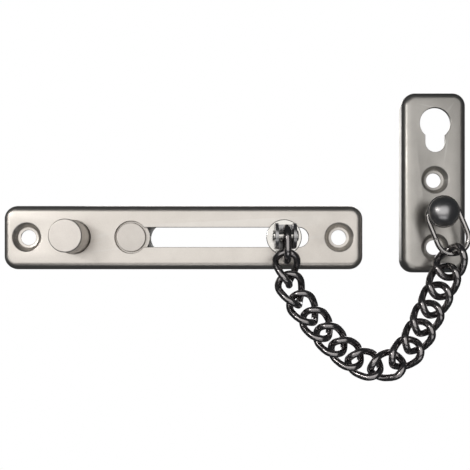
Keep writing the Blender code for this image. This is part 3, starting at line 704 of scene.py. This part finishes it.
def make_clevis():
    x = slider_x()
    low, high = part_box("slider_clevis")
    half = (high.x - low.x) / 2
    spare = 0.001  # the strip reaches past its trim
    # The strip is one flat band, folded up at both sides with round corners and rounded ear tops.
    outer = [(0, CLEVIS_LOW)]
    outer += arc((half - CLEVIS_FOLD, CLEVIS_LOW + CLEVIS_FOLD), CLEVIS_FOLD, -90, 0, 6)
    outer += [(half, PIN_HEIGHT + CLEVIS_EAR + spare)]
    inner = [(half - CLEVIS_SHEET, PIN_HEIGHT + CLEVIS_EAR + spare)]
    inner += arc((half - CLEVIS_SHEET - CLEVIS_INNER_FOLD, CLEVIS_TOP + CLEVIS_INNER_FOLD),
                 CLEVIS_INNER_FOLD, 0, -90, 4)
    inner += [(0, CLEVIS_TOP)]
    right = outer + inner
    band = right + [(-a, b) for a, b in reversed(right) if a > 1e-9]
    rings = [[(x + a, -b, z) for a, b in band] for z in (-CLEVIS_EAR - spare, CLEVIS_EAR + spare)]
    strip = loft("slider_clevis_strip", rings)
    shape = [(CLEVIS_EAR, CLEVIS_LOW - spare)] + arc((0, PIN_HEIGHT), CLEVIS_EAR, 0, 180, 40)
    shape += [(-CLEVIS_EAR, CLEVIS_LOW - spare)]
    sides = [[(x + across, -h, z) for z, h in shape] for across in (-half - 2 * spare, half + 2 * spare)]
    cut(strip, [loft("clevis_trim", sides)], "INTERSECT")
    hole = stacked("rivet_hole", circle(x, 0, RIVET_HOLE_RADIUS, 48), [(0, 0.006), (0, 0.0095)])
    reach = 0.01
    bore = [(0, -reach), (PIN_BORE_RADIUS, -reach), (PIN_BORE_RADIUS, reach), (0, reach)]
    bore = turned("pin_bore", bore, 0, 0, 48, lie_along="X")
    bore.data.transform(Matrix.Translation((x, -PIN_HEIGHT, 0)))
    cut(strip, [hole, bore])
    outward(strip)
    soften = strip.modifiers.new("soften", "BEVEL")
    soften.width = CLEVIS_NICK
    soften.segments = 2
    soften.limit_method = "ANGLE"
    soften.angle_limit = math.radians(50)
    applied(strip)
    finished(strip, "slider_clevis", 30)
    head, end = half + GAP, half + GAP + PIN_HEAD
    pin = [(0, end), (0.0012, end - 0.00004), (0.0017, end - 0.00014), (0.0020, end - 0.00032),
           (PIN_HEAD_RADIUS, end - 0.0005), (PIN_HEAD_RADIUS, head), (PIN_RADIUS, head)]
    pin = pin + [(r, -h) for r, h in reversed(pin)]
    item = turned("clevis_pin_turned", pin, 0, 0, 64, lie_along="X")
    item.data.transform(Matrix.Translation((x, -PIN_HEIGHT, 0)))
    finished(item, "clevis_pin", 32)


def make_ball_stud():
    x, z = stud_place()
    base = STUD_RIM_HEIGHT + STUD_RIM_THICK
    ball = (STUD_DOME_RADIUS**2 + STUD_DOME_RISE**2) / (2 * STUD_DOME_RISE)
    half_angle = math.degrees(math.asin(STUD_DOME_RADIUS / ball))
    profile = arc((0, base + STUD_DOME_RISE - ball), ball, 90, 90 - half_angle, 28)
    profile[0] = (0, base + STUD_DOME_RISE)
    profile += [(STUD_DOME_RADIUS - NICK, STUD_RIM_HEIGHT + NICK), (0.0026, STUD_RIM_HEIGHT),
                (STUD_NECK_RADIUS, STUD_RIM_HEIGHT - 0.0003)]
    # Below the neck come a flared shoulder in front of the sheet and a foot behind it.
    profile += [(STUD_NECK_RADIUS, 0.0083), (0.0025, 0.0079), (0.0030, 0.0074), (STUD_FOOT_RADIUS, 0.0070),
                (STUD_FOOT_RADIUS, 0.0063), (STUD_NECK_RADIUS, 0.0063), (STUD_NECK_RADIUS, 0.0037),
                (STUD_FOOT_RADIUS, 0.0037), (STUD_FOOT_RADIUS, 0.0029), (0.0034, 0.0027), (0, 0.0027)]
    finished(turned("jamb_stud_turned", profile, x, z, 128), "jamb_stud", 30)
    # The rim is a rolled collar round the dome, given the paler, glossier bright nickel so that it shows as
    # a pale ring.
    inside = STUD_DOME_RADIUS - 0.0002
    collar = [(inside, STUD_RIM_HEIGHT)]
    collar += [(STUD_RIM_RADIUS - COLLAR_ROUNDING + a, STUD_RIM_HEIGHT + COLLAR_ROUNDING + b)
               for a, b in arc((0, 0), COLLAR_ROUNDING, -90, 40, 6)]
    collar += [(STUD_DOME_RADIUS + 0.00012, base + 0.00012), (STUD_DOME_RADIUS + 0.00002, base - 0.0002),
               (inside, base - 0.0002)]
    item = turned("jamb_stud_collar", collar, x, z, 128)
    finished(item, "jamb_stud", 50)
    item.data.materials[0] = MATERIALS["bright_nickel"]
    washer = [(0.0026, 0.0047), (0.0049, 0.0047), (0.0050, 0.0046),
              (0.0050, 0.0041), (0.0049, 0.0040), (0.0026, 0.0040)]
    finished(turned("stud_washer_turned", washer, x, z, 96), "stud_washer", 30)


# ---------------------------------------------------------------- studio

SURROUND_RADIUS = 2.5
FLOOR_Z, FLOOR_COLOUR = -0.17, (0.86, 0.86, 0.85, 1)
# Name, place, target, size in metres, power in watts and colour of each lamp.
LAMPS = (
    ("front_panel", (-0.10, -0.82, 0.08), (0.0, 0, 0), (1.30, 0.85), 3.9, (1.0, 0.985, 0.965)),
    ("left_panel", (-0.60, -0.62, 0.25), (0, 0, 0), (0.12, 0.12), 1.0, (1.0, 0.98, 0.95)),
    ("low_fill", (0.05, -0.55, -0.50), (0.02, 0, 0), (0.7, 0.20), 0.5, (1, 1, 1)),
    ("back_panel", (0.10, 0.90, 0.30), (0.02, 0, 0), (0.9, 0.6), 5.0, (1, 1, 1)),
)
CAMERA_PLACE, CAMERA_LENS_MM, CAMERA_SHIFT = (0.0246, -0.206, -0.0130), 38.68, (-0.0213, 0.0745)


def emission(name, colour, strength):
    made = bpy.data.materials.new(name)
    made.use_nodes = True
    tree = made.node_tree
    tree.nodes.clear()
    light = add(tree, "ShaderNodeEmission", {"Color": (*colour, 1), "Strength": strength})
    out = tree.nodes.new("ShaderNodeOutputMaterial")
    tree.links.new(light.outputs[0], out.inputs["Surface"])
    return made


def area(name, place, target, size, power, colour):
    data = bpy.data.lights.new(name, "AREA")
    data.shape = "RECTANGLE"
    data.size, data.size_y = size
    data.energy = power
    data.color = colour
    item = bpy.data.objects.new(name, data)
    item.location = place
    aim = Vector(target) - Vector(place)
    item.rotation_mode = "QUATERNION"
    item.rotation_quaternion = aim.to_track_quat("-Z", "Y")
    bpy.context.scene.collection.objects.link(item)
    return item


def make_studio():
    scene = bpy.context.scene
    scene.view_settings.view_transform = "Standard"
    scene.view_settings.look = "None"
    # A white surround that only the camera sees, so that the metal reflects the dark room and the lamps.
    work = bmesh.new()
    bmesh.ops.create_icosphere(work, subdivisions=4, radius=SURROUND_RADIUS)
    mesh = bpy.data.meshes.new("white_surround")
    work.to_mesh(mesh)
    work.free()
    surround = bpy.data.objects.new("white_surround", mesh)
    scene.collection.objects.link(surround)
    mesh.materials.append(emission("surround_white", (1, 1, 1), 1.0))
    surround.visible_glossy = False
    surround.visible_diffuse = False
    surround.visible_shadow = False
    surround.visible_transmission = False
    corners = [(-0.6, -0.7), (0.8, -0.7), (0.8, 0.15), (-0.6, 0.15)]
    floor = mesh_object("pale_floor", [(x, y, FLOOR_Z) for x, y in corners], [(0, 1, 2, 3)])
    made, tree, shader = nodes_of("pale_floor_paint")
    shader.inputs["Base Color"].default_value = FLOOR_COLOUR
    shader.inputs["Roughness"].default_value = 0.7
    shader.inputs["Emission Color"].default_value = FLOOR_COLOUR
    shader.inputs["Emission Strength"].default_value = 0.7
    floor.data.materials.append(made)
    floor.visible_glossy = False
    floor.visible_diffuse = False
    world = bpy.data.worlds.new("studio")
    scene.world = world
    world.use_nodes = True
    tree = world.node_tree
    back = tree.nodes["Background"]
    back.inputs["Color"].default_value = (0.9, 0.95, 1.0, 1)
    back.inputs["Strength"].default_value = 0.05
    for lamp in LAMPS:
        area(*lamp)


def make_camera():
    data = bpy.data.cameras.new("camera")
    data.lens = CAMERA_LENS_MM
    data.sensor_width = 36.0
    data.shift_x, data.shift_y = CAMERA_SHIFT
    data.clip_start, data.clip_end = 0.01, 20
    camera = bpy.data.objects.new("camera", data)
    camera.location = CAMERA_PLACE
    camera.rotation_euler = (math.pi / 2, 0, 0)
    bpy.context.scene.collection.objects.link(camera)
    bpy.context.scene.camera = camera


make_camera()
make_studio()
make_plates()
make_lock()
make_springs()
make_slider()
make_clevis()
make_chain()
make_ball_stud()
make_ring()
